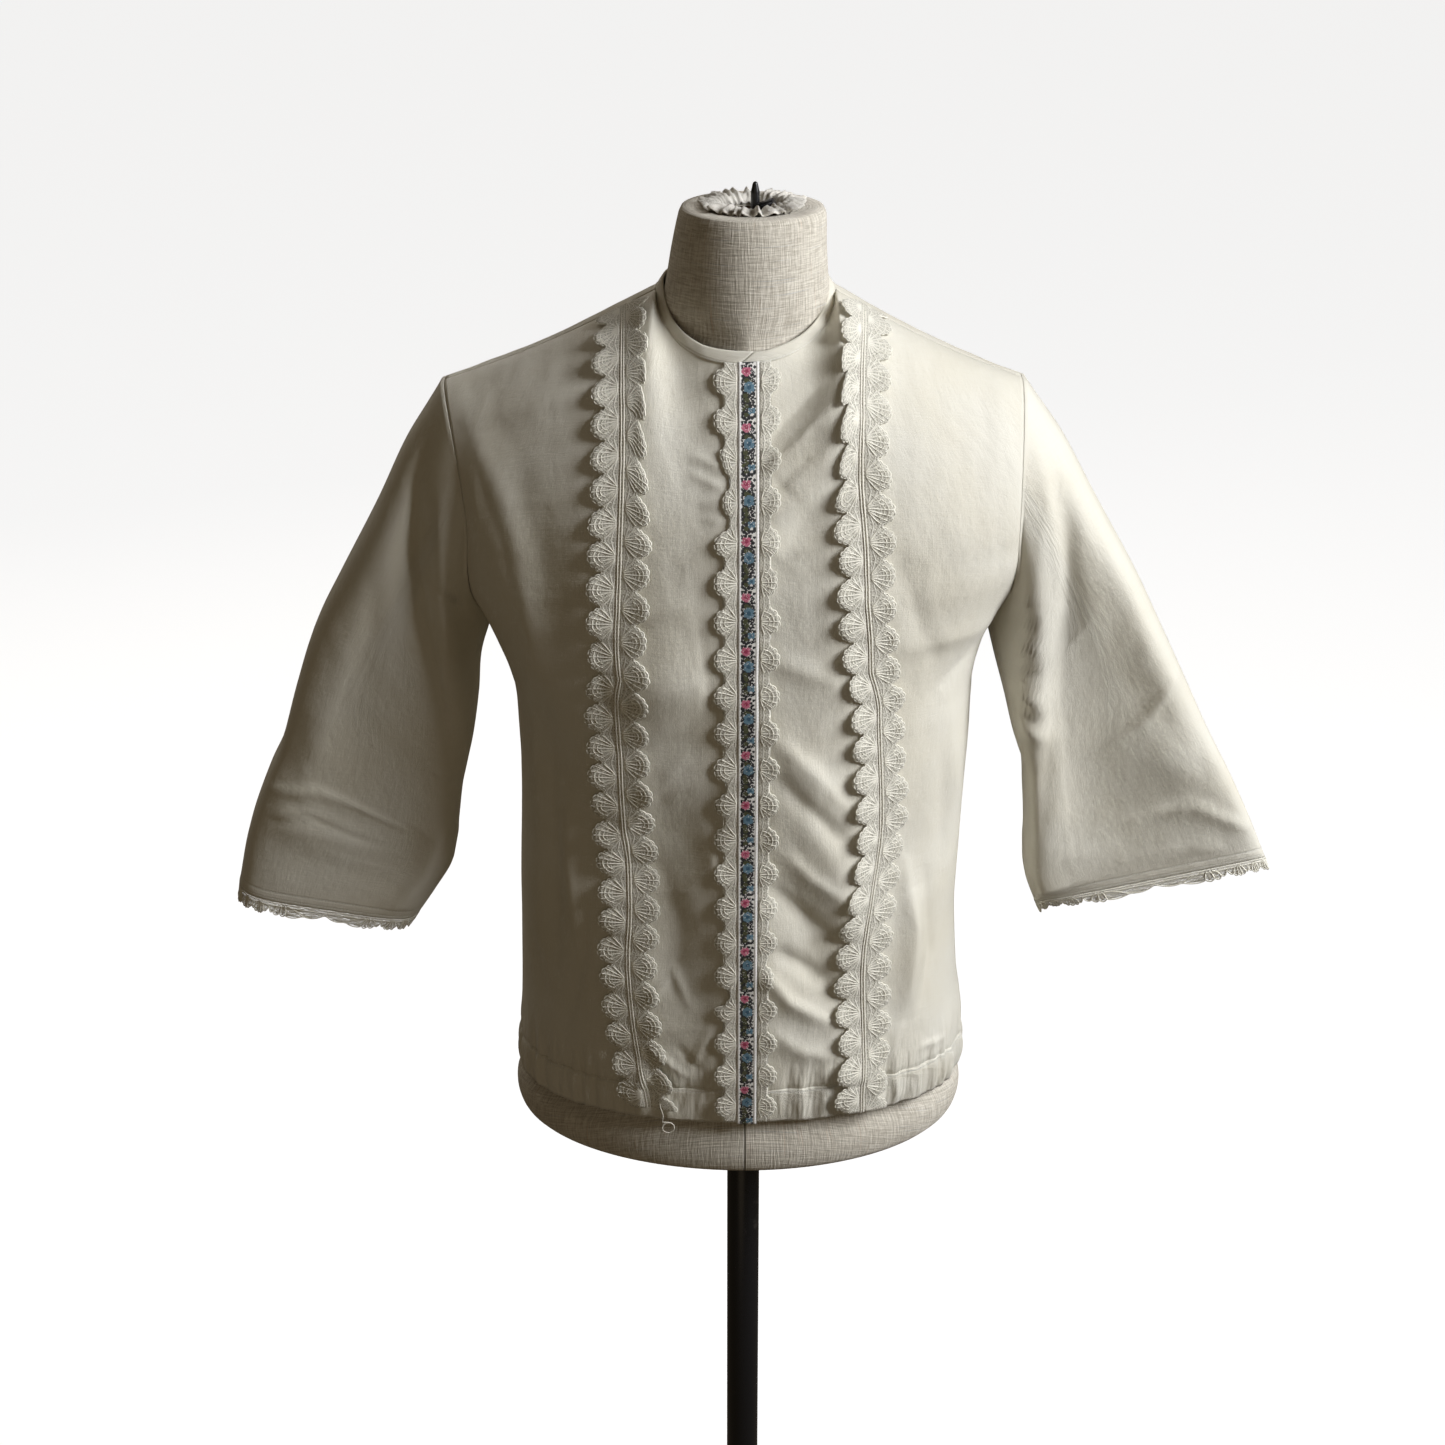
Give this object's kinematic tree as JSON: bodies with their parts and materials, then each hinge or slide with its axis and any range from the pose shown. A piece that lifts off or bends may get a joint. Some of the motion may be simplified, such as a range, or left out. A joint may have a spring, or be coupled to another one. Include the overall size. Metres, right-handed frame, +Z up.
{
  "type": "lace blouse on dress form",
  "caption": "Ivory cotton blouse with flared three-quarter sleeves, ruffled lace strips, a floral ribbon down the front and a gathered hem, on a linen dress form with pole stand.",
  "frame": {"origin": "centre of the stand base's flat underside, on the floor", "axes": "+X to the viewer's right, +Y to the back of the blouse, +Z up; the front faces -Y"},
  "size_m": [0.7301, 0.38, 1.416],
  "materials": {
    "ivory_cotton": "plain-woven cotton with a soft satin sheen",
    "ivory_lace": "matt cotton lace",
    "floral_ribbon": "woven floral ribbon",
    "form_linen": "coarse natural linen",
    "black_paint": "semi-gloss black",
    "black_iron": "black enamel"
  },
  "bodies": {
    "root": {"form_body": "form_linen", "pole": "black_paint", "finial": "black_paint", "base": "black_iron", "front_right": "ivory_cotton", "front_left": "ivory_cotton", "back": "ivory_cotton", "sleeve_right": "ivory_cotton", "sleeve_left": "ivory_cotton", "hem_casing": "ivory_cotton", "neckband": "ivory_cotton", "side_lace_right": "ivory_lace", "side_lace_left": "ivory_lace", "centre_lace_right": "ivory_lace", "centre_lace_left": "ivory_lace", "cuff_lace_right": "ivory_lace", "cuff_lace_left": "ivory_lace", "ribbon": "floral_ribbon"}
  },
  "joints": []
}
